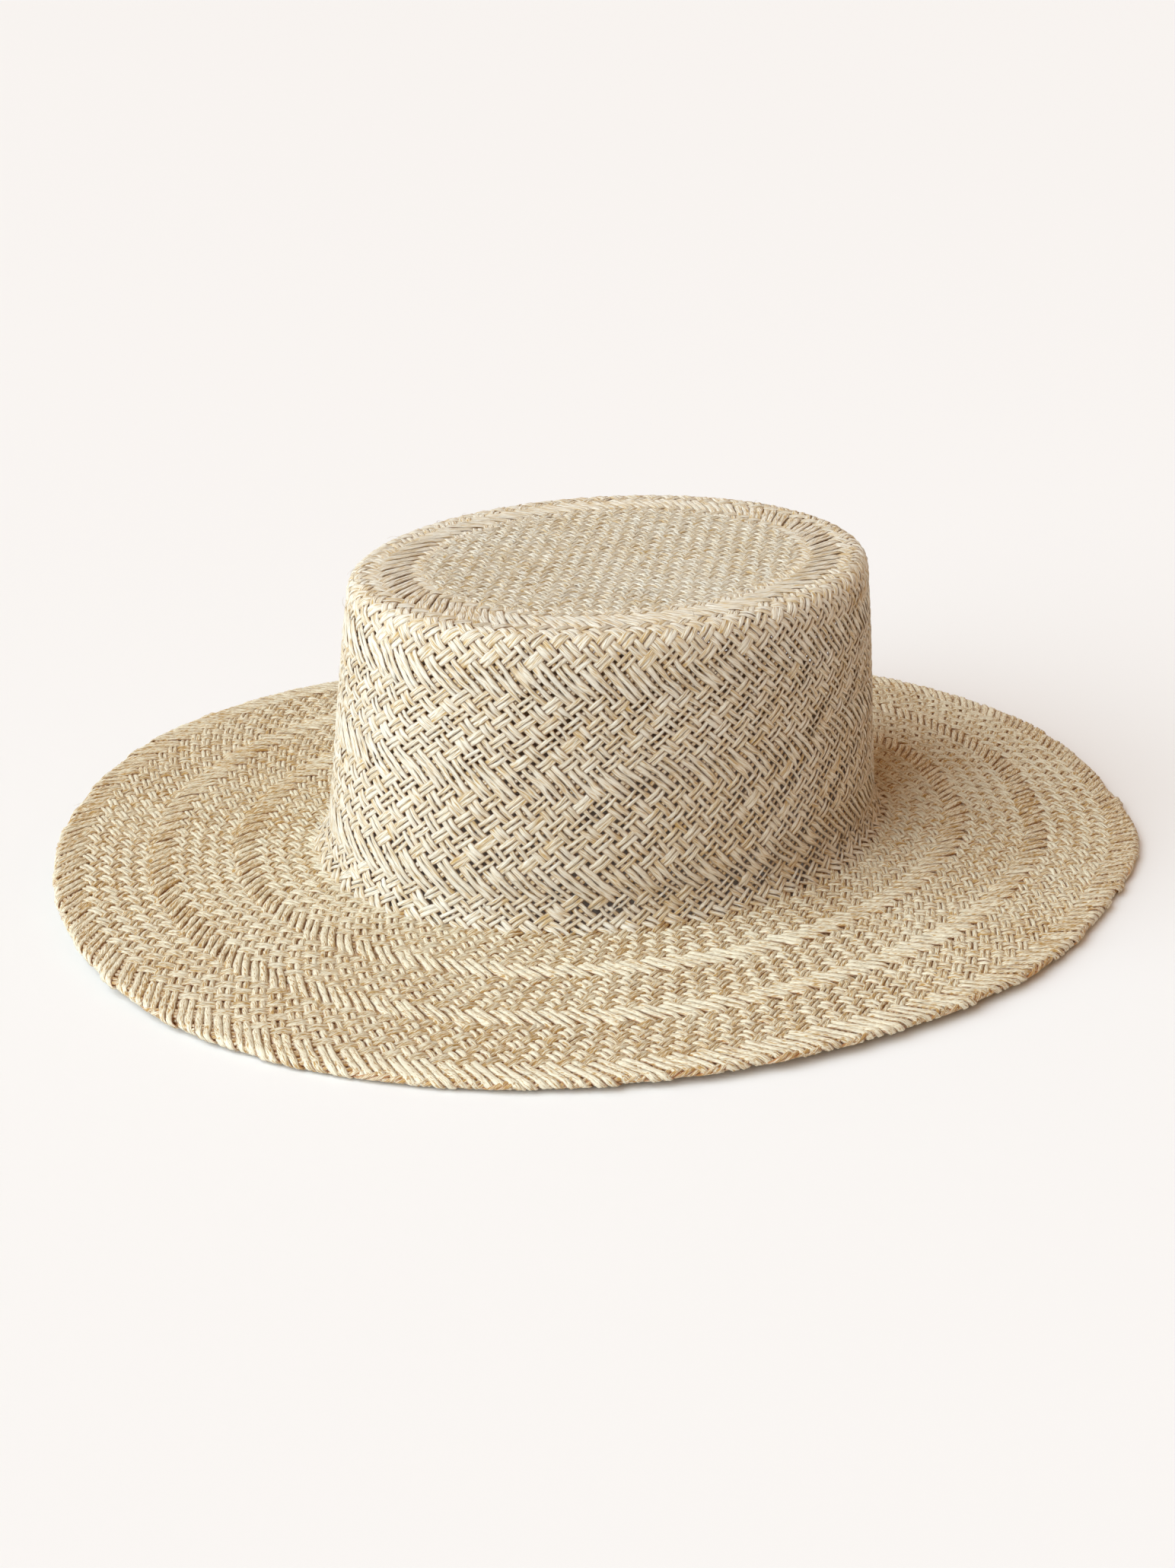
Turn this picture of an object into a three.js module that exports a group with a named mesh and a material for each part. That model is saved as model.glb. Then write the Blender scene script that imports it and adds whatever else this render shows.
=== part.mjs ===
// A flat-topped, wide-brimmed straw hat. Millimetres, +Z up, +Y the back of the head and -Y the front.
// The hood is woven in one; it is parted here where a hatter blocks it: crown, brim and turned-under hem.
import * as THREE from 'three';

// Driving sizes
const FOOT_RADIUS = 92; // mean outside radius of the crown where it meets the brim
const TIP_RADIUS = 84; // mean outside radius at the top edge of the crown
const OVAL_RATIO = 0.785; // head width over head length
const CROWN_HEIGHT = 94; // top of the brim to the flat tip
const TIP_ROUND = 6; // radius of the rounded edge between tip and side
const FOOT_ROUND = 6; // radius of the curve from the side into the brim
const BRIM_WIDTH = 89;
const STRAW = 2; // thickness of the woven wall
const HEM_STRAW = 1.6; // thickness of the turned-under layer
const HEM_WIDTH = 16;
const SEAM_GAP = 0.3; // clearance kept between neighbouring pieces
const SEGMENTS = 64; // steps round the oval

// The brim's edge waves up and down: a row for each wave, with its count of humps and its two heights
const EDGE_WAVES = [
  { humps: 2, cosine: -1.1, sine: -2.8 },
  { humps: 3, cosine: 1.8, sine: 0.6 },
];
const EDGE_DROP = 0.9; // how far the edge hangs below the brim's root on average
const WAVE_GROWTH = 1.5; // the wave grows with this power of the way out along the brim

// Places where the outline leaves the even oval: angle and half width in degrees, and reach, outward positive
const EDGE_CORNERS = [
  { angle: 318, halfWidth: 9, reach: 2.2 },
  { angle: 300, halfWidth: 10, reach: -1.8 },
  { angle: 334, halfWidth: 10, reach: -1.2 },
];

// The wavy edge stands on three points, which leans the whole hat by this much towards its back left
const LEAN = THREE.MathUtils.degToRad(1.33);
const LEAN_TOWARDS = THREE.MathUtils.degToRad(36.5);

// Half length and half width of the oval with a given mean radius
function halfAxes(meanRadius) {
  const long = (2 * meanRadius) / (1 + OVAL_RATIO);
  return { long, wide: long * OVAL_RATIO };
}

// A point of that oval, moved outwards along its normal; the angle runs anticlockwise from the back, seen from above
function ovalPoint(meanRadius, outwards, angle) {
  const { long, wide } = halfAxes(meanRadius);
  const along = Math.cos(angle);
  const across = Math.sin(angle);
  const slope = Math.hypot(along / long, across / wide);
  return {
    x: -wide * across - (outwards * across) / wide / slope,
    y: long * along + (outwards * along) / long / slope,
  };
}

function edgeHeight(angle) {
  const wave = ({ humps, cosine, sine }) => cosine * Math.cos(humps * angle) + sine * Math.sin(humps * angle);
  return EDGE_WAVES.reduce((height, row) => height + wave(row), -EDGE_DROP);
}

function cornerReach(angle) {
  return EDGE_CORNERS.reduce((sum, row) => {
    const away = (THREE.MathUtils.radToDeg(angle) - row.angle) / row.halfWidth;
    return sum + row.reach * Math.exp(-away * away);
  }, 0);
}

// Share of the way out along the brim, 0 at its root and 1 at its edge
const brimShare = (outwards) => Math.max(0, (outwards - FOOT_ROUND) / (BRIM_WIDTH - FOOT_ROUND));

// One ring of points: an oval, how far outside it the ring lies, and its height above the brim's root
function ring({ radius = FOOT_RADIUS, out = 0, z }) {
  const share = brimShare(out) ** WAVE_GROWTH;
  return Array.from({ length: SEGMENTS }, (_, step) => {
    const angle = (2 * Math.PI * step) / SEGMENTS;
    const { x, y } = ovalPoint(radius, out + share * cornerReach(angle), angle);
    return [x, y, z + share * edgeHeight(angle)];
  });
}

// A closed mesh through rings in section order. Its ends meet each other, or each closes on a pole point.
function bodyOfRings(sections, poles) {
  const positions = sections.flatMap((section) => ring(section)).flat();
  const indices = [];
  const vertex = (row, step) => (row % sections.length) * SEGMENTS + (step % SEGMENTS);
  const rows = poles ? sections.length - 1 : sections.length;
  for (let row = 0; row < rows; row += 1) {
    for (let step = 0; step < SEGMENTS; step += 1) {
      const corners = [vertex(row, step), vertex(row + 1, step), vertex(row + 1, step + 1), vertex(row, step + 1)];
      indices.push(corners[0], corners[1], corners[2], corners[0], corners[2], corners[3]);
    }
  }
  if (poles) {
    positions.push(0, 0, poles.first, 0, 0, poles.last);
    const first = sections.length * SEGMENTS;
    const lastRow = sections.length - 1;
    for (let step = 0; step < SEGMENTS; step += 1) {
      indices.push(first, vertex(0, step), vertex(0, step + 1));
      indices.push(first + 1, vertex(lastRow, step + 1), vertex(lastRow, step));
    }
  }
  const geometry = new THREE.BufferGeometry();
  geometry.setAttribute('position', new THREE.Float32BufferAttribute(positions, 3));
  geometry.setIndex(indices);
  geometry.computeVertexNormals();
  return geometry;
}

// Outside radius of the crown's side at a height above the brim's root
const sideRadius = (height) => THREE.MathUtils.lerp(FOOT_RADIUS, TIP_RADIUS, height / CROWN_HEIGHT);

// Crown: flat tip, rounded edge and tapering side, open below. inset is 0 for the outside skin.
function crownSkin(inset) {
  const top = CROWN_HEIGHT - inset;
  const roundSteps = 4;
  const sideHeights = [66, 40, 18, FOOT_ROUND + SEAM_GAP];
  const flat = [0.35, 0.7].map((share) => ({ radius: TIP_RADIUS * share, z: top }));
  const rounded = Array.from({ length: roundSteps + 1 }, (_, step) => {
    const turn = (Math.PI / 2) * (step / roundSteps);
    const radius = TIP_ROUND - inset;
    return {
      radius: TIP_RADIUS,
      out: radius * Math.sin(turn) - TIP_ROUND,
      z: CROWN_HEIGHT - TIP_ROUND + radius * Math.cos(turn),
    };
  });
  const side = sideHeights.map((height) => ({ radius: sideRadius(height), out: -inset, z: height }));
  return [...flat, ...rounded, ...side];
}

function crown() {
  const sections = [...crownSkin(0), ...crownSkin(STRAW).reverse()];
  return bodyOfRings(sections, { first: CROWN_HEIGHT, last: CROWN_HEIGHT - STRAW });
}

// Brim: an upturned foot under the crown's side, then the wavy plate
const BRIM_END = BRIM_WIDTH - HEM_STRAW - SEAM_GAP;

function brimSkin(depth) {
  const footSteps = 3;
  const plateSteps = 7;
  const foot = Array.from({ length: footSteps + 1 }, (_, step) => {
    const turn = (Math.PI / 2) * (step / footSteps);
    const radius = FOOT_ROUND + depth;
    return { out: FOOT_ROUND - radius * Math.cos(turn), z: FOOT_ROUND - radius * Math.sin(turn) };
  });
  const plate = Array.from({ length: plateSteps }, (_, step) => ({
    out: THREE.MathUtils.lerp(FOOT_ROUND, BRIM_END, (step + 1) / plateSteps),
    z: -depth,
  }));
  return [...foot, ...plate];
}

function brim() {
  return bodyOfRings([...brimSkin(0), ...brimSkin(STRAW).reverse()]);
}

// Hem: the edge of the brim turned round and under, in a J-shaped section from its top lip inwards
function brimHem() {
  const under = STRAW + SEAM_GAP;
  const bottom = under + HEM_STRAW;
  const edgeRound = 0.6;
  const halfway = BRIM_WIDTH - HEM_WIDTH / 2;
  const inner = BRIM_WIDTH - HEM_WIDTH;
  return bodyOfRings([
    { out: BRIM_WIDTH - HEM_STRAW, z: 0 },
    { out: BRIM_WIDTH - edgeRound, z: 0 },
    { out: BRIM_WIDTH, z: -edgeRound },
    { out: BRIM_WIDTH, z: edgeRound - bottom },
    { out: BRIM_WIDTH - edgeRound, z: -bottom },
    { out: halfway, z: -bottom },
    { out: inner, z: -bottom },
    { out: inner, z: -under },
    { out: halfway, z: -under },
    { out: BRIM_WIDTH - HEM_STRAW, z: -under },
  ]);
}

const straw = (color) => new THREE.MeshStandardMaterial({ color, roughness: 0.85, metalness: 0 });

const pieces = [
  { name: 'crown', geometry: crown(), material: straw('#e6d6b6') },
  { name: 'brim', geometry: brim(), material: straw('#dcc398') },
  { name: 'brim_hem', geometry: brimHem(), material: straw('#d2b88e') },
];

const hat = new THREE.Group();
pieces.forEach(({ name, geometry, material }) => {
  const mesh = new THREE.Mesh(geometry, material);
  mesh.name = name;
  hat.add(mesh);
});
hat.quaternion.setFromAxisAngle(new THREE.Vector3(-Math.sin(LEAN_TOWARDS), Math.cos(LEAN_TOWARDS), 0), LEAN);

// The origin is the middle of the hat's footprint, on the surface that it stands on
const bounds = new THREE.Box3().setFromObject(hat, true);
const middle = bounds.getCenter(new THREE.Vector3());
hat.position.set(-middle.x, -middle.y, -bounds.min.z);

export default hat;
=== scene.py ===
"""The looks of a flat-topped straw hat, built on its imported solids.

The hat is woven from two families of strands, each a pair of straw yarns lying side by side. One family
falls outwards to the right and the other to the left, over and under each other. About every tenth row
the first family floats over three crossings, which draws a ring of slanting strokes round the hat. The
number of strands grows outwards, and each new set starts hidden under a ring of strokes.

Sizes are millimetres in the hat's own upright frame, until settle() leans the hat, puts it on the floor
and turns them to metres.
"""

import math

import bpy
import numpy as np
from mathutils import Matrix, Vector


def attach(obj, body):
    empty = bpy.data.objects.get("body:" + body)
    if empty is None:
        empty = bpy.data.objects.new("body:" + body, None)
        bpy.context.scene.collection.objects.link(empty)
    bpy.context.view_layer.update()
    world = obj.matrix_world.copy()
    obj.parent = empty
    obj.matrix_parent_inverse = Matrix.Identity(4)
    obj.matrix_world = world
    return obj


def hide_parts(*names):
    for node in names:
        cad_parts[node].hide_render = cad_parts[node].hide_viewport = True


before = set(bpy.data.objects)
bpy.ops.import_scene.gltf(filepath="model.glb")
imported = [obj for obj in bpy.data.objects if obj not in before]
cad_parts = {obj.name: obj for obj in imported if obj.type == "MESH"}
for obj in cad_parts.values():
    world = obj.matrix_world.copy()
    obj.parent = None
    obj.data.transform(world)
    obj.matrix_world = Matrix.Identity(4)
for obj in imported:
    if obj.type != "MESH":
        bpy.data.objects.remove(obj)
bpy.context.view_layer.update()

# The solids' sizes, as in the part's source.
FOOT_RADIUS = 92.0
TIP_RADIUS = 84.0
OVAL_RATIO = 0.785
CROWN_HEIGHT = 94.0
SIDE_HEIGHTS = (6.3, 66, 88)
SIDE_RADII = (91.46, 86.38, 84)
CORNER_ROUND = 6.0
BRIM_WIDTH = 89.0
EDGE_DROP = 0.9
WAVE_GROWTH = 1.5
EDGE_HUMPS = ((2, -1.1, -2.8), (3, 1.8, 0.6))
EDGE_CORNERS = ((318, 9, 2.2), (300, 10, -1.8), (334, 10, -1.2))
LEAN = math.radians(1.33)
LEAN_TOWARDS = math.radians(36.5)
HAT_ORIGIN = (0.03276, 0.05453, 7.86326)

# The rim isn't cut but turned, so it runs in and out a little from strand to strand.
RIM_UNEVEN = 0.45

# The middle of the straw wall, followed from the centre of the tip, over the crown, out to the rim and
# back under it. Each run is the distance along that path at which a stretch ends.
WALL = 1.0
FLAT_END = TIP_RADIUS - CORNER_ROUND
TIP_ROUND = CORNER_ROUND - WALL
ROUND_END = FLAT_END + TIP_ROUND * math.pi / 2
SIDE_TOP = CROWN_HEIGHT - CORNER_ROUND
SIDE_END = ROUND_END + SIDE_TOP - CORNER_ROUND
FOOT_ROUND = CORNER_ROUND + WALL
FOOT_END = SIDE_END + FOOT_ROUND * math.pi / 2
TURN_OUT = 87.4
TURN_RADIUS = 1.05
RIM_START = FOOT_END + TURN_OUT - CORNER_ROUND
RIM_END = RIM_START + TURN_RADIUS * math.pi

# Where the weave's rows fall along that path, and the rows on which the falling strands float. A float
# holds its height this many rows each way, and is back in the plain weave at its reach.
ROWS = (8, 12, 20, 30, 40, 46.5, 54, 64, 74, 82)
ROW_RUNS = (55.6, 68, 95.9, 126.4, 160.4, 178.9, 199.9, 227.4, 256.4, 279.6)
FLOAT_ROWS = (12, 20, 30, 40, 54, 64, 74)
FLOAT_HOLD = 1.2
FLOAT_REACH = 2

# The last float goes on round the turned rim, this many rows further.
RIM_FLOAT = 74
RIM_HOLD = 2

# Each row has this many steps of mesh, and twice as many between the rows on which the rim turns.
STEPS_PER_ROW = 3
RIM_TURN_ROWS = (75.1, 76.6)

# The weave is tighter on one side of the hat, the left one in the photograph. Elsewhere it opens in
# patches, so many round the hat and so many millimetres long, and the tip hardly opens.
TIGHT_SIDE = math.radians(142)
SIDE_SLACK = 0.8
PATCH_SLACK = 0.7
PATCH_GROWTH = 0.3
PATCH_TURNS = (14, 60)
PATCH_LENGTHS = (9, 26)
SLACK_ROWS = (14, 18)
SLACK_SHARES = (0.2, 1)

# How high the strands ride over each other and how thick they are, row by row: flat on the crown, plump
# on the brim, pressed flat again where the rim turns under.
BODY_ROWS = (43, 46, 71.5, 74)
RELIEF = (0.29, 0.46, 0.46, 0.2)
THICKNESS = (0.72, 1.1, 1.1, 0.85)

# How far the strands stray from an even weave: sideways together and alone, and down the hat together, in
# millimetres, then each strand's height, width and thickness as shares of them.
SHARED_STRAY = 0.5
OWN_STRAY = 0.12
ROW_STRAY = 0.35
HEIGHT_NOISE = 0.15
WIDTH_NOISE = 0.07
THICKNESS_NOISE = 0.06

# A strand's end dives under the weave over this many rows.
DIVE_ROWS = 0.8

# The two yarns of a strand lie between these shares of their even spacing apart, more where the weave is
# slack. Their spacing, width, roll, outline and height stray a little too.
YARNS_APART = (0.72, 1.05)
APART_WITH_SLACK = 0.7
APART_NOISE = 0.08
YARN_WIDTH_NOISE = 0.03
ROLL_NOISE = 0.1
ACROSS_NOISE = 0.05
ABOVE_NOISE = 0.1

# Each yarn's fibres start somewhere within this length, so that no two yarns show the same streaks.
FIBRE_START = 900


def oval_point(radius, out, angle):
    """A point of the hat's oval of that mean radius, moved out square to it. Angle 0 is the back."""
    long = 2 * radius / (1 + OVAL_RATIO)
    wide = long * OVAL_RATIO
    slope = np.hypot(np.cos(angle) / long, np.sin(angle) / wide)
    x = -np.sin(angle) * (wide + out / wide / slope)
    y = np.cos(angle) * (long + out / long / slope)
    return x, y


def brim_edge(angle):
    """How far the brim's edge rises, and how far it reaches out, round the hat."""
    height = -EDGE_DROP + sum(c * np.cos(n * angle) + s * np.sin(n * angle) for n, c, s in EDGE_HUMPS)
    degrees = np.degrees(angle) % 360
    reach = sum(r * np.exp(-(((degrees - middle) / half) ** 2)) for middle, half, r in EDGE_CORNERS)
    return height, reach


def hat_point(run, angle, lift, uneven=0.0):
    """A point of the straw wall at that run and angle, lifted off the wall's middle towards the outside.

    Each strand's own unevenness moves it in or out at the rim.
    """
    run, angle, lift = np.broadcast_arrays(run, angle, lift)
    tip_turn = np.clip((run - FLAT_END) / TIP_ROUND, 0, math.pi / 2)
    side_height = SIDE_TOP - (run - ROUND_END)
    foot_turn = np.clip((run - SIDE_END) / FOOT_ROUND, 0, math.pi / 2)
    rim_turn = np.clip((run - RIM_START) / TURN_RADIUS, 0, math.pi)
    stretch = np.searchsorted((FLAT_END, ROUND_END, SIDE_END, FOOT_END, RIM_START, RIM_END), run)
    side_radius = np.interp(side_height, SIDE_HEIGHTS, SIDE_RADII)
    radius = np.choose(stretch, (TIP_RADIUS, TIP_RADIUS, side_radius, *[FOOT_RADIUS] * 4))
    out = np.choose(
        stretch,
        (
            -CORNER_ROUND,
            TIP_ROUND * np.sin(tip_turn) - CORNER_ROUND,
            -WALL,
            CORNER_ROUND - FOOT_ROUND * np.cos(foot_turn),
            CORNER_ROUND + run - FOOT_END,
            TURN_OUT + TURN_RADIUS * np.sin(rim_turn),
            TURN_OUT - (run - RIM_END),
        ),
    )
    height = np.choose(
        stretch,
        (
            SIDE_TOP + TIP_ROUND,
            SIDE_TOP + TIP_ROUND * np.cos(tip_turn),
            side_height,
            CORNER_ROUND - FOOT_ROUND * np.sin(foot_turn),
            -WALL,
            -WALL - TURN_RADIUS * (1 - np.cos(rim_turn)),
            -WALL - 2 * TURN_RADIUS,
        ),
    )
    lean_out = np.choose(stretch, (0, np.sin(tip_turn), 1, np.cos(foot_turn), 0, np.sin(rim_turn), 0))
    lean_up = np.choose(stretch, (1, np.cos(tip_turn), 0, np.sin(foot_turn), 1, np.cos(rim_turn), -1))
    share = np.clip((out - CORNER_ROUND) / (BRIM_WIDTH - CORNER_ROUND), 0, None) ** WAVE_GROWTH
    rise, reach = brim_edge(angle)
    x, y = oval_point(radius, out + lift * lean_out + share * reach + share**4 * uneven, angle)
    shrink = np.minimum(run / FLAT_END, 1)
    return np.stack((x * shrink, y * shrink, height + lift * lean_up + share * rise), -1)


def settle(points):
    """Leans the hat onto the three low points of its brim and puts it on the floor, in metres."""
    axis = np.array((-math.sin(LEAN_TOWARDS), math.cos(LEAN_TOWARDS), 0.0))
    turned = (
        points * math.cos(LEAN)
        + np.cross(axis, points) * math.sin(LEAN)
        + (points @ axis)[..., None] * axis * (1 - math.cos(LEAN))
    )
    return (turned + HAT_ORIGIN) / 1000


def even_angles(radius, out):
    """A table that turns an even share of the way round an oval into its angle, and the oval's length."""
    tenths_of_a_degree = 3600
    angle = np.linspace(0, 2 * np.pi, tenths_of_a_degree + 1)
    x, y = oval_point(radius, out, angle)
    length = np.concatenate(([0], np.cumsum(np.hypot(np.diff(x), np.diff(y)))))
    return length / length[-1], angle, length[-1]


def wander(angle, run, seed, size, turns_range=(3, 15), length_range=(45, 120)):
    """Slow waves that all strands share, so that crossings stay together while rows aren't ruled.

    turns_range is how many of them go round the hat, length_range how long they are down it, and size
    about how far they stray, in millimetres or as a share.
    """
    chance = np.random.default_rng(seed)
    waves = 8
    drift = 0
    for _ in range(waves):
        turns = chance.integers(*turns_range)
        length = chance.uniform(*length_range)
        drift = drift + np.sin(turns * angle + run * 2 * np.pi / length + chance.uniform(0, 2 * np.pi))
    return drift * size / math.sqrt(waves / 2)


def own_noise(chance, strands, row):
    """Smooth chance along each strand, one new value each row."""
    start = math.floor(row.min())
    knots = chance.normal(size=(strands, math.ceil(row.max()) - start + 2))
    place = np.clip(row - start, 0, None)
    low = np.floor(place).astype(int)
    part = place - low
    part = part * part * (3 - 2 * part)
    return knots[:, low] * (1 - part) + knots[:, low + 1] * part


def over_or_under(row, falling):
    """How high a strand rides at a row: 1 over the other family and -1 under it."""
    ride = np.cos(np.pi * row) * (-1 if falling else 1)
    for middle in FLOAT_ROWS:
        beside = np.abs(row - middle)
        if middle == RIM_FLOAT:
            beside = np.maximum(beside - np.clip(row - middle, 0, RIM_HOLD), 0)
        sunk = np.clip((beside - FLOAT_HOLD) / (FLOAT_REACH - FLOAT_HOLD), 0, 1)
        float_ride = np.cos(np.pi * sunk) * (1 if falling else -1)
        ride = np.where(beside <= FLOAT_REACH, float_ride, ride)
    return ride


# The outline across a yarn, from its left edge over the top and back below. A corner has a place across
# and above. The face from it to the next corner looks upward or not, and starts and ends in a groove
# weight: how much painted shade the finish lays there, between the yarns. The two yarns of a strand lie
# apart by a share of their even spacing. The brim's yarns are packed, so only their tops need to be
# round.
LOOSE_YARN = {
    "across": np.array((-1, -0.5, 0.5, 1, 0)),
    "above": np.array((-0.2, 0.9, 0.9, -0.2, -0.9)),
    "upward": np.array((1, 1, 1, -1, -1)),
    "groove": np.array(((1, 0), (0, 0), (0, 1), (1, 0), (0, 1))),
    "apart": 0.85,
}
PACKED_YARN = {
    "across": np.array((-1, -0.45, 0.45, 1)),
    "above": np.array((-0.5, 0.9, 0.9, -0.5)),
    "upward": np.array((1, 1, 1, -1)),
    "groove": np.array(((1, 0), (0, 0), (0, 1), (0.3, 0.3))),
    "apart": 0.9,
}


def sideways(middle, facing):
    """Unit steps along each strand, and to its side within the weave."""
    along = np.gradient(middle, axis=1)
    along /= np.linalg.norm(along, axis=-1, keepdims=True)
    side = np.cross(along, facing)
    side /= np.linalg.norm(side, axis=-1, keepdims=True)
    return along, side


def straight_across(middle, facing):
    """Places a strand's outline square to its middle line."""
    along, side = sideways(middle, facing)
    up = np.cross(side, along)
    return lambda left, high: (
        middle[:, :, None] + side[:, :, None] * left[..., None] + up[:, :, None] * high[..., None]
    )


def along_the_wall(middle, facing, run, angle, lift, uneven):
    """Places a strand's outline on the straw wall, so that it bends round the rim with the wall.

    A small step along the path and a small turn show how run and angle change to the strand's side.
    """
    step, turn = 0.1, 0.001
    side = sideways(middle, facing)[1]
    down = hat_point(run + step, angle, lift, uneven) - hat_point(run - step, angle, lift, uneven)
    round_hat = hat_point(run, angle + turn, lift, uneven) - hat_point(run, angle - turn, lift, uneven)
    run_step = 2 * step * (side * down).sum(-1) / (down * down).sum(-1)
    angle_step = 2 * turn * (side * round_hat).sum(-1) / (round_hat * round_hat).sum(-1)
    run, lift = np.broadcast_arrays(run, lift)
    return lambda left, high: hat_point(
        run[..., None] + run_step[..., None] * left,
        angle[..., None] + angle_step[..., None] * left,
        lift[..., None] + high,
        uneven[..., None],
    )


def yarn_group(outline, place, beside, width, thickness, roll, ride, row, chance):
    """Sweeps the outline along each yarn. The group is a dict of arrays for straw_mesh()."""
    strands, steps = width.shape
    corners = len(outline["across"])
    uneven = own_noise(chance, strands * corners, row).reshape(strands, corners, steps).transpose(0, 2, 1)
    across = outline["across"] * (1 + ACROSS_NOISE * uneven) * width[..., None] / 2
    above = outline["above"] * (1 - ABOVE_NOISE * uneven) * thickness[..., None] / 2
    turn = roll[..., None]
    left = across * np.cos(turn) - above * np.sin(turn) + beside[..., None]
    high = across * np.sin(turn) + above * np.cos(turn)
    points = place(left, high)
    middle = points.mean(axis=2)
    step_length = np.linalg.norm(np.diff(middle, axis=1), axis=-1)
    length = np.concatenate((np.zeros((strands, 1)), np.cumsum(step_length, axis=1)), axis=1)
    along = np.gradient(middle, axis=1)
    along /= np.linalg.norm(along, axis=-1, keepdims=True)
    raised = np.abs(np.stack((outline["above"], np.roll(outline["above"], -1)), -1))
    shape = (strands, steps, corners, 2)
    return {
        "points": points,
        "length": length + chance.uniform(0, FIBRE_START, (strands, 1)),
        # Depth drives painted light in the finish: crests are painted pale as a highlight, low places are
        # painted with shade.
        "depth": ride[..., None, None] * outline["upward"][:, None] * 0.5 + raised * 0.5,
        "groove": np.broadcast_to(outline["groove"], shape),
        "shade": np.broadcast_to(chance.normal(size=(strands, 1, 1, 1)), shape),
        # Painted sheen: how far the strand lies across the light, which the finish paints paler.
        "across_light": np.broadcast_to(light_crossing(along)[..., None, None], shape),
    }


# Straw shines across its fibres, so strands that lie across the photograph's light, which comes from the
# left, are paler than strands that point at it. This shine is painted into the colour.
LIGHT_ALONG_FLOOR = np.array((0.035, -0.999, 0.0))


def light_crossing(along):
    return 1 - (along @ LIGHT_ALONG_FLOOR) ** 2


def straw_mesh(name, groups, finish, node):
    """Joins groups of strands into one piece with its coordinates and tones, and sets it on the hat."""
    points, faces, uvs = [], [], []
    tones = {"depth": [], "groove": [], "shade": [], "across_light": []}
    first = 0
    for group in groups:
        strands, steps, corners = group["points"].shape[:3]
        number = first + np.arange(strands * steps * corners).reshape(strands, steps, corners)
        after = np.roll(number, -1, axis=2)
        quads = np.stack((number[:, :-1], after[:, :-1], after[:, 1:], number[:, 1:]), -1)
        faces.append(quads.reshape(-1, 4))
        place = np.arange(corners) / corners
        beside = place + 1 / corners
        near = group["length"][:, :-1, None]
        far = group["length"][:, 1:, None]
        shape = quads.shape[:3]
        quad_uvs = np.empty((*shape, 4, 2))
        quad_uvs[..., 0, 0] = quad_uvs[..., 3, 0] = place
        quad_uvs[..., 1, 0] = quad_uvs[..., 2, 0] = beside
        quad_uvs[..., 0, 1] = quad_uvs[..., 1, 1] = np.broadcast_to(near, shape)
        quad_uvs[..., 2, 1] = quad_uvs[..., 3, 1] = np.broadcast_to(far, shape)
        uvs.append(quad_uvs.reshape(-1, 2))
        points.append(group["points"].reshape(-1, 3))
        for tone, values in tones.items():
            starts, ends = group[tone][..., 0], group[tone][..., 1]
            round_face = np.stack((starts[:, :-1], ends[:, :-1], ends[:, 1:], starts[:, 1:]), -1)
            values.append(round_face.reshape(-1))
        first += strands * steps * corners
    points = settle(np.concatenate(points))
    faces = np.concatenate(faces)
    mesh = bpy.data.meshes.new(name)
    mesh.vertices.add(len(points))
    mesh.vertices.foreach_set("co", points.astype(np.float32).ravel())
    mesh.loops.add(faces.size)
    mesh.loops.foreach_set("vertex_index", faces.astype(np.int32).ravel())
    mesh.polygons.add(len(faces))
    mesh.polygons.foreach_set("loop_start", np.arange(0, faces.size, 4, dtype=np.int32))
    mesh.polygons.foreach_set("use_smooth", np.ones(len(faces), bool))
    layer = mesh.uv_layers.new(name="straw")
    layer.data.foreach_set("uv", np.concatenate(uvs).astype(np.float32).ravel())
    for tone, values in tones.items():
        attribute = mesh.attributes.new("straw_" + tone, "FLOAT", "CORNER")
        attribute.data.foreach_set("value", np.concatenate(values).astype(np.float32))
    mesh.update(calc_edges=True)
    mesh.validate()
    mesh.materials.append(finish)
    piece = bpy.data.objects.new(name, mesh)
    bpy.context.scene.collection.objects.link(piece)
    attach(piece, "root")
    if node:
        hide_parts(node)
    return piece


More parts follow.
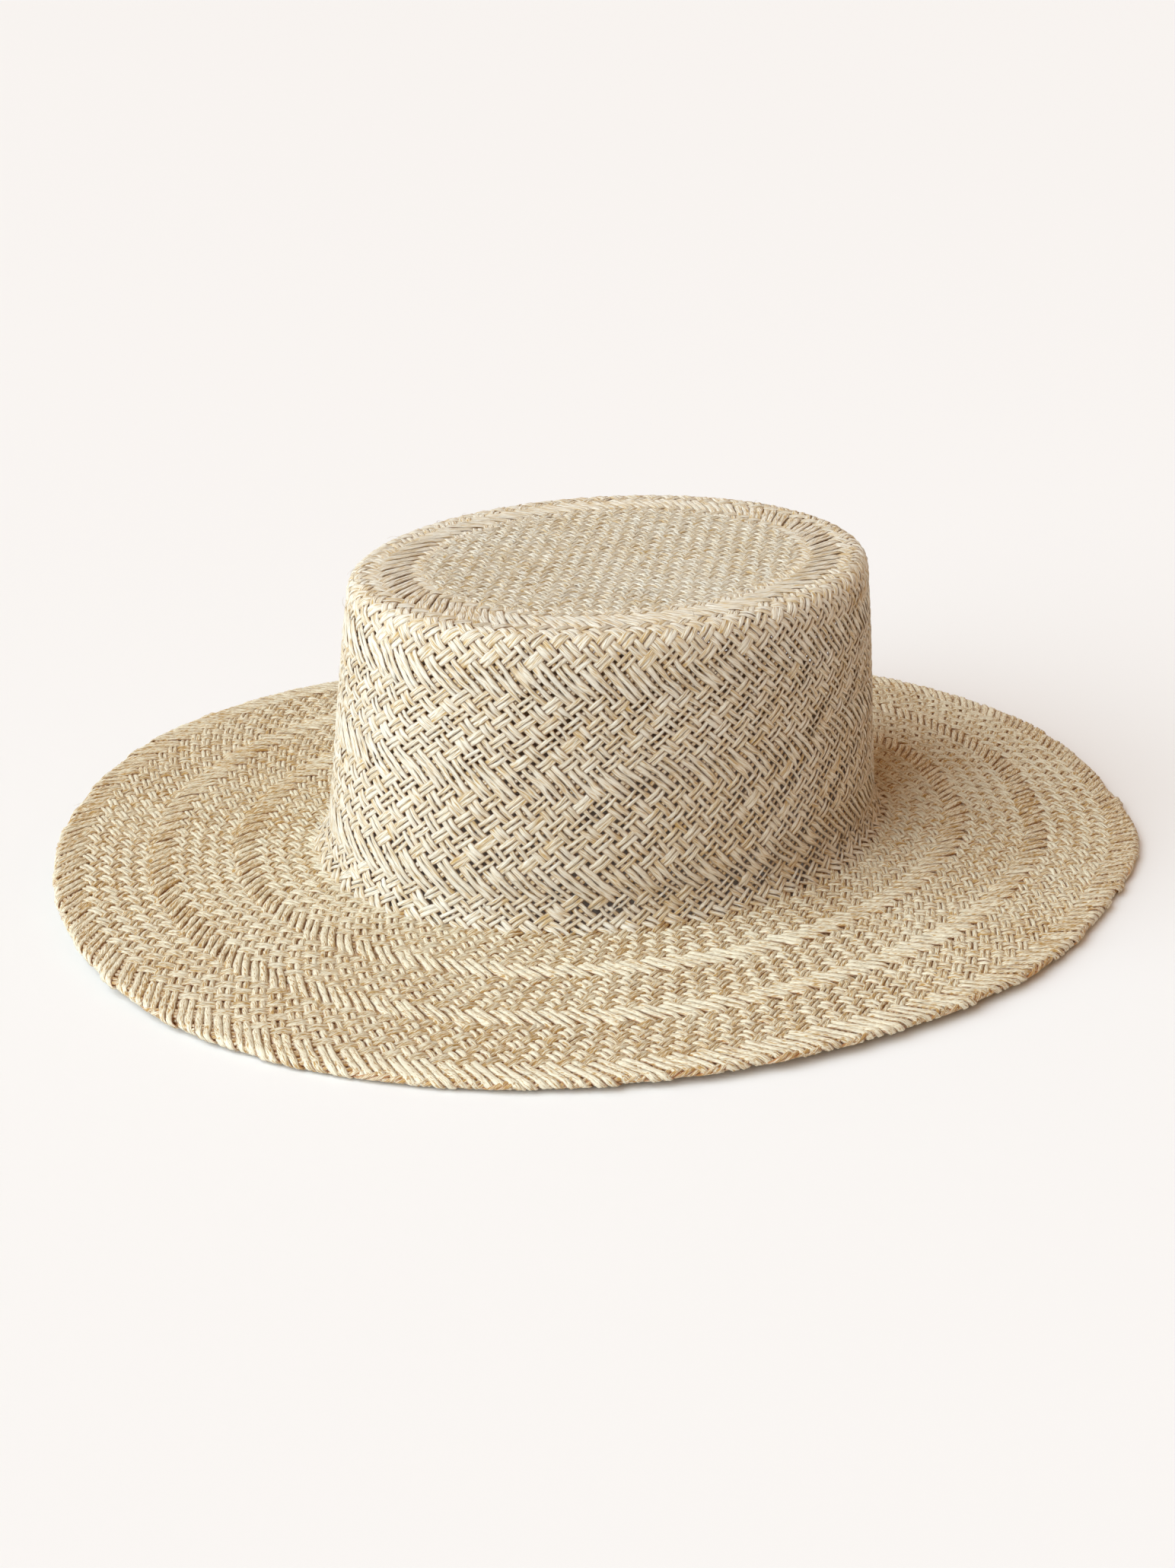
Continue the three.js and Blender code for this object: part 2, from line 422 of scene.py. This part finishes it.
def woven_family(falling, rows, weave, chance):
    """One family of strands over a range of rows of the weave, as a list of groups."""
    share, angles, round_length = even_angles(*weave["oval"])
    strands = weave["strands"]
    first, last = rows
    row = np.linspace(first, last, round((last - first) * STEPS_PER_ROW) + 1)
    turned = (row > RIM_TURN_ROWS[0]) & (row < RIM_TURN_ROWS[1])
    row = np.sort(np.concatenate((row, row[turned] + 0.5 / STEPS_PER_ROW)))
    run = np.interp(row, ROWS, ROW_RUNS)
    number = np.arange(strands)[:, None]
    turn = (number + (1 if falling else -1) * row / 2) / strands
    turn = turn + weave["swirl"] * (run - FOOT_END) / round_length
    angle = np.interp(turn % 1, share, angles)
    drift = wander(angle, run, 3, SHARED_STRAY) + own_noise(chance, strands, row) * OWN_STRAY
    turn = turn + drift / round_length
    angle = np.interp(turn % 1, share, angles)
    run = run + wander(angle, run, 4, ROW_STRAY)
    ride = over_or_under(row, falling)
    end = np.minimum(row - first, last - row)
    dive = np.clip(1 - end / DIVE_ROWS, 0, 1) * weave["end_dive"]
    relief = np.interp(row, BODY_ROWS, RELIEF)
    lift = ride * relief * (1 + HEIGHT_NOISE * own_noise(chance, strands, row)) - dive
    uneven = RIM_UNEVEN * np.random.default_rng(5 + falling).normal(size=(strands, 1))
    middle = hat_point(run, angle, lift, uneven)
    facing = hat_point(run, angle, lift + 0.5, uneven) - hat_point(run, angle, lift - 0.5, uneven)
    along = np.gradient(middle, axis=1)
    along /= np.linalg.norm(along, axis=-1, keepdims=True)
    gap = np.roll(middle, -1, axis=0) - middle
    gap = gap - (gap * along).sum(-1, keepdims=True) * along
    pitch = np.median(np.linalg.norm(gap, axis=-1), axis=0)
    loose_side = -SIDE_SLACK * np.cos(angle - TIGHT_SIDE)
    patches = wander(angle, run, 8, 1.0, PATCH_TURNS, PATCH_LENGTHS)
    slack = (PATCH_SLACK + PATCH_GROWTH * loose_side) * patches + loose_side
    slack = slack * weave["slack"] * np.interp(row, SLACK_ROWS, SLACK_SHARES)
    width_noise = WIDTH_NOISE * own_noise(chance, strands, row)
    width = pitch * weave["fill"](row, falling) * (1 - slack + width_noise)
    thickness_noise = THICKNESS_NOISE * own_noise(chance, strands, row)
    thickness = np.interp(row, BODY_ROWS, THICKNESS) * (1 + thickness_noise)
    ride = np.broadcast_to(ride, lift.shape)
    place = along_the_wall(middle, facing, run, angle, lift, uneven)
    return yarn_pair(weave["yarn"], place, pitch, width, thickness, slack, ride, row, chance)


def yarn_pair(outline, place, pitch, width, thickness, slack, ride, row, chance):
    """The two yarns of each strand side by side, further apart where the weave is slack."""
    groups = []
    for beside in (-1, 1):
        apart_noise, width_noise, roll_noise = [own_noise(chance, len(width), row) for _ in range(3)]
        apart = outline["apart"] + slack * APART_WITH_SLACK + APART_NOISE * apart_noise
        apart = beside / 4 * pitch * np.clip(apart, *YARNS_APART)
        yarn_width = width * (0.5 + YARN_WIDTH_NOISE * width_noise)
        roll = ROLL_NOISE * roll_noise
        groups.append(yarn_group(outline, place, apart, yarn_width, thickness, roll, ride, row, chance))
    return groups


class Level:
    """A number or colour that varies over a finish. Python sums on it add Math nodes."""

    def __init__(self, finish, socket):
        self.finish = finish
        self.socket = socket

    def _math(self, operation, first, second):
        return self.finish.node("ShaderNodeMath", {"operation": operation}, {0: first, 1: second})

    def __add__(self, other):
        return self._math("ADD", self, other)

    def __radd__(self, other):
        return self._math("ADD", other, self)

    def __sub__(self, other):
        return self._math("SUBTRACT", self, other)

    def __rsub__(self, other):
        return self._math("SUBTRACT", other, self)

    def __mul__(self, other):
        return self._math("MULTIPLY", self, other)

    def __rmul__(self, other):
        return self._math("MULTIPLY", other, self)


class Finish:
    """One node material."""

    def __init__(self, name):
        self.material = bpy.data.materials.new(name)
        self.material.use_nodes = True
        self.tree = self.material.node_tree
        self.tree.nodes.clear()

    def node(self, kind, settings=None, sockets=None, output=0):
        """Adds a node, sets it up, then fills its sockets with values or links. Gives one output."""
        made = self.tree.nodes.new(kind)
        for key, value in (settings or {}).items():
            setattr(made, key, value)
        for key, value in (sockets or {}).items():
            if isinstance(value, Level):
                self.tree.links.new(value.socket, made.inputs[key])
            else:
                made.inputs[key].default_value = value
        return Level(self, made.outputs[output])

    def wear(self, shader):
        """Makes this shader the surface."""
        surface = self.tree.nodes.new("ShaderNodeOutputMaterial")
        self.tree.links.new(shader.socket, surface.inputs["Surface"])

    def mix(self, share, first, second):
        """Mixes two colours, given as tuples or levels."""
        pair = [c if isinstance(c, Level) else (*c, 1) for c in (first, second)]
        settings = {"data_type": "RGBA", "clamp_factor": True}
        return self.node("ShaderNodeMix", settings, {0: share, 6: pair[0], 7: pair[1]}, output=2)


def tone(red, green, blue):
    """A colour as read off a screen, 0 to 255, as the shader's linear colour."""
    shares = (red / 255, green / 255, blue / 255)
    return tuple(c / 12.92 if c <= 0.04045 else ((c + 0.055) / 1.055) ** 2.4 for c in shares)


def straw_finish(name, pale, golden, shade_and_glow_colour, painted_sheen, glowing, painted_groove_shade, streaky, streak, twist, contrast):
    """Dry straw yarn: fibres run along it, its grooves are darkened with warm painted shade, and its
    crests are painted pale as a highlight.

    glossy is how much paler it is painted where it lies across the light, as a painted sheen; glowing how
    strongly it glows, most in its grooves, with painted light that stands in for light coming through
    thin straw; grooved how dark its grooves are painted with shade; and streaky how much the fibres show.
    streak is how many streaks come to the millimetre along a yarn, and twist how many turns they make in
    it.
    contrast spreads all the tones but those of the grooves.
    """
    finish = Finish(name)
    uv = finish.node("ShaderNodeUVMap", {"uv_map": "straw"})
    depth = finish.node("ShaderNodeAttribute", {"attribute_name": "straw_depth"}, output=2)
    groove = finish.node("ShaderNodeAttribute", {"attribute_name": "straw_groove"}, output=2)
    shade = finish.node("ShaderNodeAttribute", {"attribute_name": "straw_shade"}, output=2)
    crossing = finish.node("ShaderNodeAttribute", {"attribute_name": "straw_across_light"}, output=2)

    round_strand = finish.node("ShaderNodeSeparateXYZ", {}, {"Vector": uv})
    along_strand = finish.node("ShaderNodeSeparateXYZ", {}, {"Vector": uv}, output=1)

    def fibres(across, along, twist):
        """Streaks of fibre: how many round a strand, how many to the millimetre, how fast they turn."""
        place = finish.node(
            "ShaderNodeCombineXYZ",
            {},
            {"X": (round_strand + along_strand * twist) * across, "Y": along_strand * along},
        )
        sockets = {"Vector": place, "Scale": 1.0, "Detail": 1.0, "Roughness": 0.6}
        return finish.node("ShaderNodeTexNoise", {"noise_dimensions": "2D"}, sockets)

    fine = fibres(20, streak, twist)
    broad = fibres(8, streak * 0.7, twist * 0.6)
    patch = fibres(2.4, 0.06, 0.0)
    position = finish.node("ShaderNodeTexCoord", output=3)
    cloud = finish.node("ShaderNodeTexNoise", {}, {"Vector": position, "Scale": 26.0, "Detail": 2.0})

    middle_tone = 0.56
    # Paleness mixes the fibres' own streaks and random tones with painted light: a painted sheen where a
    # strand lies across the light, and a painted highlight on the crests.
    paleness = (
        (crossing - 0.5) * painted_sheen
        + (broad - 0.5) * (1.8 * streaky)
        + (fine - 0.5) * (2.4 * streaky)
        + (patch - 0.5)
        + (cloud - 0.5) * 0.5
        + shade * 0.09
        + (depth - 0.3) * 0.4
    ) * contrast + middle_tone
    straw = finish.mix(paleness, golden, pale)
    # Painted shade: grooves between yarns and low places under other strands are mixed towards the dark
    # warm colour.
    painted_hollow_shade = groove * groove * painted_groove_shade + (0.15 - depth) * 0.38
    straw = finish.mix(painted_hollow_shade, straw, shade_and_glow_colour)
    # Painted glow: an emission, strongest in the grooves, stands in for the light that comes through thin
    # straw and warms them.
    through = tuple(glowing * c for c in shade_and_glow_colour)
    glow = finish.mix(painted_hollow_shade * 0.5 + 0.12 - depth * 0.12, (0.0, 0.0, 0.0), through)
    fibre_height = fine * 0.4 + broad * 0.4
    normal = finish.node(
        "ShaderNodeBump", {}, {"Strength": 1.0, "Distance": 0.0008, "Height": fibre_height}
    )
    roughness = 0.62 - (fine - 0.5) * 0.3
    shader = finish.node(
        "ShaderNodeBsdfPrincipled",
        {},
        {
            "Base Color": straw,
            "Roughness": roughness,
            "Normal": normal,
            "IOR": 1.48,
            "Sheen Weight": 0.15,
            "Sheen Roughness": 0.5,
            "Emission Color": glow,
            "Emission Strength": 1.0,
        },
    )
    finish.wear(shader)
    return finish.material


crown_straw = straw_finish(
    "crown_straw",
    pale=tone(243, 237, 220),
    golden=tone(204, 170, 107),
    shade_and_glow_colour=tone(165, 102, 46),
    painted_sheen=0.1,
    glowing=0.06,
    painted_groove_shade=0.85,
    streaky=1.1,
    streak=0.25,
    twist=0.02,
    contrast=1.0,
)
brim_straw = straw_finish(
    "brim_straw",
    pale=tone(247, 238, 211),
    golden=tone(193, 152, 84),
    shade_and_glow_colour=tone(182, 108, 44),
    painted_sheen=0.4,
    glowing=0.2,
    painted_groove_shade=1.1,
    streaky=1.3,
    streak=0.5,
    twist=0.04,
    contrast=1.5,
)
# Painted shade: the hem's straw is a copy of the brim's with a darker pale tone and less contrast, for
# the shaded underside of the turned rim.
hem_straw = straw_finish(
    "hem_straw",
    pale=tone(236, 223, 196),
    golden=tone(202, 164, 110),
    shade_and_glow_colour=tone(190, 130, 74),
    painted_sheen=0.4,
    glowing=0.2,
    painted_groove_shade=0.8,
    streaky=1.2,
    streak=0.5,
    twist=0.04,
    contrast=1.0,
)


def crown_fill(row, falling):
    """The share of their spacing that the crown's strands fill: closed on the tip, open on the side."""
    open_weave = np.interp(row, (13, 16, 19), (1.15, 1.02, 0.785))
    beside_float = np.min([np.abs(row - middle) for middle in FLOAT_ROWS], axis=0)
    closed = 0.84 if falling else 0.88
    return np.maximum(open_weave, np.interp(beside_float, (0.9, 1.7), (closed, 0.6)))


def brim_fill(row, falling):
    """The same for the brim's strands, which lie close all over and touch round the rim."""
    beside_float = np.min([np.abs(row - middle) for middle in FLOAT_ROWS], axis=0)
    fill = np.interp(beside_float, (1.2, 2.0), (1.02, 0.87) if falling else (1.0, 1.06))
    return np.where((row > 73.5) & (row < 77), 1.02, fill)


CROWN_WEAVE = {
    "strands": 76,
    "oval": (88, 0),
    "swirl": -0.1,
    "fill": crown_fill,
    "slack": 0.16,
    "yarn": LOOSE_YARN,
    "end_dive": 0.5,
}
CROWN_FAMILIES = {
    "crown_strands_falling": {"falling": True, "rows": (8.3, 46.2)},
    "crown_strands_rising": {"falling": False, "rows": (8.3, 45.2)},
}
for seed, (name, family) in enumerate(CROWN_FAMILIES.items(), 11):
    family_chance = np.random.default_rng(seed)
    strands = woven_family(family["falling"], family["rows"], CROWN_WEAVE, family_chance)
    straw_mesh(name, strands, crown_straw, "crown")

BRIM_WEAVE = {"swirl": -0.32, "fill": brim_fill, "slack": 0.03, "yarn": PACKED_YARN, "end_dive": 0.5}

# The brim's rings: strands each way, rows of the falling and of the rising strands, and how far out the
# strands are evenly spaced. The rings overlap, so that ends lie under the next ring's strokes.
BRIM_RINGS = {
    "brim_weave_inner": {"strands": 104, "falling": (45.6, 56.6), "rising": (44.6, 55.6), "out": 14},
    "brim_weave_middle": {"strands": 126, "falling": (55.6, 66.6), "rising": (54.6, 65.6), "out": 41},
    "brim_weave_outer": {"strands": 150, "falling": (65.6, 77.4), "rising": (64.6, 77.4), "out": 72},
}
for seed, (name, ring) in enumerate(BRIM_RINGS.items(), 21):
    ring_chance = np.random.default_rng(seed)
    ring_weave = {**BRIM_WEAVE, "strands": ring["strands"], "oval": (FOOT_RADIUS, ring["out"])}
    falling_strands = woven_family(True, ring["falling"], ring_weave, ring_chance)
    rising_strands = woven_family(False, ring["rising"], ring_weave, ring_chance)
    straw_mesh(name, falling_strands + rising_strands, brim_straw, "brim")

# The turned-under hem goes on from the outer ring, strand for strand.
HEM_ROWS = (76.8, 81.4)
hem_chance = np.random.default_rng(24)
hem_weave = {**BRIM_WEAVE, "strands": 150, "oval": (FOOT_RADIUS, 72), "end_dive": 0.0}
falling_strands = woven_family(True, HEM_ROWS, hem_weave, hem_chance)
rising_strands = woven_family(False, HEM_ROWS, hem_weave, hem_chance)
straw_mesh("hem_weave", falling_strands + rising_strands, hem_straw, "brim_hem")

# The plain cloth in the middle of the tip: its strands' spacing, how far it reaches along the tip's mean
# radius, and its strands' height over each other, thickness, share of their spacing and swaying. At its
# ends it dives under the round weave over this many crossings.
CLOTH_PITCH = 3.45
CLOTH_RADIUS = 60.0
CLOTH_RELIEF = 0.36
CLOTH_THICKNESS = 0.9
CLOTH_FILL = 1.02
CLOTH_SWAY = 0.25
CLOTH_SWAY_LENGTH = 19
CLOTH_HEIGHT_NOISE = 0.3
CLOTH_WIDTH_NOISE = 0.1
CLOTH_THICKNESS_NOISE = 0.08
CLOTH_DIVE = 0.7
CLOTH_DIVE_CELLS = 1.2


def cloth_family(lengthwise, chance):
    """The tip's plain square cloth: its strands one way, each ending under the round weave."""
    long = 2 * TIP_RADIUS / (1 + OVAL_RATIO) - CORNER_ROUND
    wide = (long + CORNER_ROUND) * OVAL_RATIO - CORNER_ROUND
    long = long * CLOTH_RADIUS / FLAT_END
    wide = wide * CLOTH_RADIUS / FLAT_END
    reach, spread = (long, wide) if lengthwise else (wide, long)
    count = int(spread / CLOTH_PITCH)
    lines = np.arange(-count, count + 1)
    groups = []
    for line in lines:
        half = reach * math.sqrt(max(0.05, 1 - (line * CLOTH_PITCH / spread) ** 2))
        cells = math.ceil(half / CLOTH_PITCH)
        row = np.arange(-cells * STEPS_PER_ROW, cells * STEPS_PER_ROW + 1) / STEPS_PER_ROW
        along = row * CLOTH_PITCH
        ride = np.cos(np.pi * (row + line)) * (1 if lengthwise else -1)
        sway = np.sin(along / CLOTH_SWAY_LENGTH + line * 0.8) + 0.6 * own_noise(chance, 1, row)[0]
        across = line * CLOTH_PITCH + sway * CLOTH_SWAY
        dive = np.clip(1 - (cells - np.abs(row)) / CLOTH_DIVE_CELLS, 0, 1) * CLOTH_DIVE
        lift = ride * CLOTH_RELIEF * (1 + CLOTH_HEIGHT_NOISE * own_noise(chance, 1, row)[0]) - dive
        x, y = (across, along) if lengthwise else (along, across)
        middle = np.stack((x, y, CROWN_HEIGHT - WALL + lift), -1)[None]
        facing = np.broadcast_to((0.0, 0.0, 1.0), middle.shape)
        width = CLOTH_PITCH * (CLOTH_FILL + CLOTH_WIDTH_NOISE * own_noise(chance, 1, row))
        thickness = CLOTH_THICKNESS + CLOTH_THICKNESS_NOISE * own_noise(chance, 1, row)
        slack = np.zeros(width.shape)
        ride = ride[None]
        place = straight_across(middle, facing)
        groups += yarn_pair(PACKED_YARN, place, CLOTH_PITCH, width, thickness, slack, ride, row, chance)
    return groups


cloth_chance = np.random.default_rng(31)
cloth = cloth_family(True, cloth_chance) + cloth_family(False, cloth_chance)
straw_mesh("tip_cloth", cloth, crown_straw, "crown")


def loose_fibres(count, chance):
    """Short fine fibres that have worked loose from the yarn, all over the hat, as one group.

    The radius only turns a fibre's length round the hat into an angle, so a rough one does.
    """
    run = chance.uniform(20, RIM_START, (count, 1))
    angle = chance.uniform(0, 2 * np.pi, (count, 1))
    length = chance.uniform(2, 8, (count, 1))
    heading = chance.uniform(0, 2 * np.pi, (count, 1))
    share = np.linspace(0, 1, 6)
    bend = heading + chance.normal(0, 0.6, (count, 1)) * share
    run = run + length * share * np.cos(bend)
    radius = np.interp(run, (0, FLAT_END, SIDE_END, RIM_START), (10, TIP_RADIUS, FOOT_RADIUS, 175))
    angle = angle + length * share * np.sin(bend) / radius
    arch = chance.uniform(0.2, 1.6, (count, 1))
    lift = 0.5 + arch * np.sin(share * chance.uniform(1, 2.4, (count, 1)))
    middle = hat_point(run, angle, lift)
    facing = hat_point(run, angle, lift + 0.5) - hat_point(run, angle, lift - 0.5)
    thickness = chance.uniform(0.09, 0.15, (count, 1)) * (1 - 0.6 * share)
    flat = np.zeros(run.shape)
    place = straight_across(middle, facing)
    row = share * 3
    return yarn_group(PACKED_YARN, place, flat, thickness, thickness, flat, flat + 1, row, chance)


FIBRE_COUNT = 400
fibre_group = loose_fibres(FIBRE_COUNT, np.random.default_rng(41))
straw_mesh("loose_fibres", [fibre_group], brim_straw, None)

# The camera stands where the photograph's did, aimed at the middle of the crown's foot.
CAMERA_AZIMUTH = math.radians(51.909)
CAMERA_HEIGHT = math.radians(23.229)
CAMERA_DISTANCE = 0.8
camera_data = bpy.data.cameras.new("camera")
camera_data.lens = 52.71
camera_data.sensor_width = 36
camera_data.shift_x = -0.01293
camera_data.shift_y = 0.01976
camera = bpy.data.objects.new("camera", camera_data)
back = Vector(
    (
        math.sin(CAMERA_AZIMUTH) * math.cos(CAMERA_HEIGHT),
        -math.cos(CAMERA_AZIMUTH) * math.cos(CAMERA_HEIGHT),
        math.sin(CAMERA_HEIGHT),
    )
)
camera.location = Vector(HAT_ORIGIN) / 1000 + back * CAMERA_DISTANCE
camera.rotation_euler = (-back).to_track_quat("-Z", "Y").to_euler()
bpy.context.scene.collection.objects.link(camera)
bpy.context.scene.camera = camera


def soft_daylight(name, azimuth, elevation, spread, strength, colour):
    """Wide soft light from one side. Azimuth is measured as the camera's is, all in degrees."""
    lamp_data = bpy.data.lights.new(name, "SUN")
    lamp_data.angle = math.radians(spread)
    lamp_data.energy = strength
    lamp_data.color = colour
    lamp = bpy.data.objects.new(name, lamp_data)
    turn = math.radians(azimuth)
    rise = math.radians(elevation)
    away = Vector((math.sin(turn) * math.cos(rise), -math.cos(turn) * math.cos(rise), math.sin(rise)))
    lamp.rotation_euler = (-away).to_track_quat("-Z", "Y").to_euler()
    bpy.context.scene.collection.objects.link(lamp)


soft_daylight("daylight_left", -8, 38, 70, 3.35, (0.92, 1.089, 1.2))

# The rest of the room gives back a weaker, warmer light.
world = bpy.data.worlds.new("studio")
world.use_nodes = True
room = world.node_tree.nodes["Background"]
room.inputs["Color"].default_value = (1.0, 0.65, 0.42, 1)
room.inputs["Strength"].default_value = 0.42
bpy.context.scene.world = world
bpy.context.scene.view_settings.view_transform = "Standard"

floor_finish = Finish("pale_floor")
dust = floor_finish.node("ShaderNodeTexNoise", {}, {"Scale": 3.0, "Detail": 2.0})
floor_colour = floor_finish.mix(dust, (0.93, 0.93, 0.925), (0.96, 0.96, 0.955))
floor_shader = floor_finish.node(
    "ShaderNodeBsdfPrincipled", {}, {"Base Color": floor_colour, "Roughness": 0.9}
)
floor_finish.wear(floor_shader)

# The floor lies a hair under the hat.
FLOOR_HALF = 9.0
FLOOR_LEVEL = -0.0003
floor_corners = [
    (-FLOOR_HALF, -FLOOR_HALF, FLOOR_LEVEL),
    (FLOOR_HALF, -FLOOR_HALF, FLOOR_LEVEL),
    (FLOOR_HALF, FLOOR_HALF, FLOOR_LEVEL),
    (-FLOOR_HALF, FLOOR_HALF, FLOOR_LEVEL),
]
floor_mesh = bpy.data.meshes.new("floor")
floor_mesh.from_pydata(floor_corners, [], [(0, 1, 2, 3)])
floor_mesh.materials.append(floor_finish.material)
floor = bpy.data.objects.new("floor", floor_mesh)
bpy.context.scene.collection.objects.link(floor)
